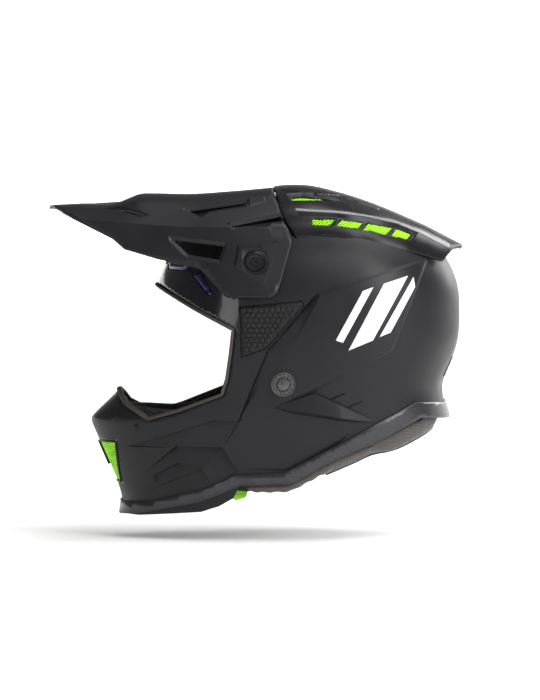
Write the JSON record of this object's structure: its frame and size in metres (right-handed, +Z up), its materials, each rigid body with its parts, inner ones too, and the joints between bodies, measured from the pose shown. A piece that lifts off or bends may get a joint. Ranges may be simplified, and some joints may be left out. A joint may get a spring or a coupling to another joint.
{
  "type": "motocross helmet",
  "caption": "Full-face off-road helmet with a long vented peak that tilts, a roof spoiler, mesh vents, a padded liner and a chin strap with wire rings.",
  "frame": {"origin": "midway between the ear holes on the helmet's middle plane, where the wearer's head holds it", "axes": "the wearer looks along -X, the wearer's left is -Y, +Z is up in the worn attitude"},
  "size_m": [0.3872, 0.249, 0.3082],
  "materials": {
    "shell_black": "satin painted shell",
    "peak_black": "satin moulded plastic",
    "band_grey": "dark metallic flake under clear coat",
    "lip_grey": "light grey satin",
    "trim_rubber": "dull soft rubber",
    "impact_foam": "beaded black foam",
    "liner_fabric": "knitted mesh cloth",
    "neon_mesh": "fluorescent yellow-green",
    "smoked_insert": "tinted gloss",
    "screw_black": "moulded black",
    "rivet_grey": "black painted steel",
    "steel": "plated steel",
    "webbing": "woven polyester"
  },
  "bodies": {
    "shell_body": {"base_trim": "band_grey", "brow_pad": "liner_fabric", "brow_vent_left": "smoked_insert", "brow_vent_right": "smoked_insert", "chin_screw_front_left": "steel", "chin_screw_front_right": "steel", "chin_screw_rear_left": "steel", "chin_screw_rear_right": "steel", "crown_pad": "liner_fabric", "eps_chin_liner": "impact_foam", "eps_crown_liner": "impact_foam", "eye_port_trim": "trim_rubber", "mouth_vent_frame": "peak_black", "mouth_vent_mesh": "neon_mesh", "nape_pad": "liner_fabric", "neck_roll": "liner_fabric", "outer_shell": "shell_black", "peak_nut_left": "steel", "peak_nut_right": "steel", "peak_spacer_left": "trim_rubber", "peak_spacer_right": "trim_rubber", "peak_top_nut": "steel", "peak_top_screw": "screw_black", "peak_top_spacer": "trim_rubber", "rear_vent": "peak_black", "roof_spoiler": "peak_black", "side_fin_left": "peak_black", "side_fin_right": "peak_black", "side_vent_mesh_left": "neon_mesh", "side_vent_mesh_right": "neon_mesh", "strap_rivet_left": "rivet_grey", "strap_rivet_right": "rivet_grey", "temple_vent_left": "smoked_insert", "temple_vent_right": "smoked_insert", "texture_insert_left": "trim_rubber", "texture_insert_right": "trim_rubber", "vent_lip_left": "lip_grey", "vent_lip_right": "lip_grey"},
    "peak_body": {"peak": "peak_black", "peak_screw_left": "screw_black", "peak_screw_right": "screw_black"},
    "strap_body": {"chin_strap_left": "webbing", "chin_strap_right": "webbing", "d_ring_inner": "steel", "d_ring_outer": "steel", "strap_hanger_left": "steel", "strap_hanger_right": "steel", "strap_snap": "screw_black"},
    "cheek_left_body": {"cheek_pad_left": "liner_fabric", "cheek_plate_left": "impact_foam", "release_tab_left": "neon_mesh"},
    "cheek_right_body": {"cheek_pad_right": "liner_fabric", "cheek_plate_right": "impact_foam", "release_tab_right": "neon_mesh"}
  },
  "joints": [
    {"name": "peak_tilt", "type": "hinge", "parent": "shell_body", "child": "peak_body", "pos_m": [-0.0547, 0, 0.1126], "axis": [0, -1, 0], "range_deg": [0, 10]},
    {"name": "chin_strap_swing", "type": "hinge", "parent": "shell_body", "child": "strap_body", "pos_m": [-0.0289, 0, 0], "axis": [0, -1, 0], "range_deg": [0, 10]},
    {"name": "cheek_pad_left_release", "type": "slide", "parent": "shell_body", "child": "cheek_left_body", "axis": [0, 0.2496, -0.9683], "range_m": [0, 0.06]},
    {"name": "cheek_pad_right_release", "type": "slide", "parent": "shell_body", "child": "cheek_right_body", "axis": [0, -0.2496, -0.9683], "range_m": [0, 0.06]}
  ]
}
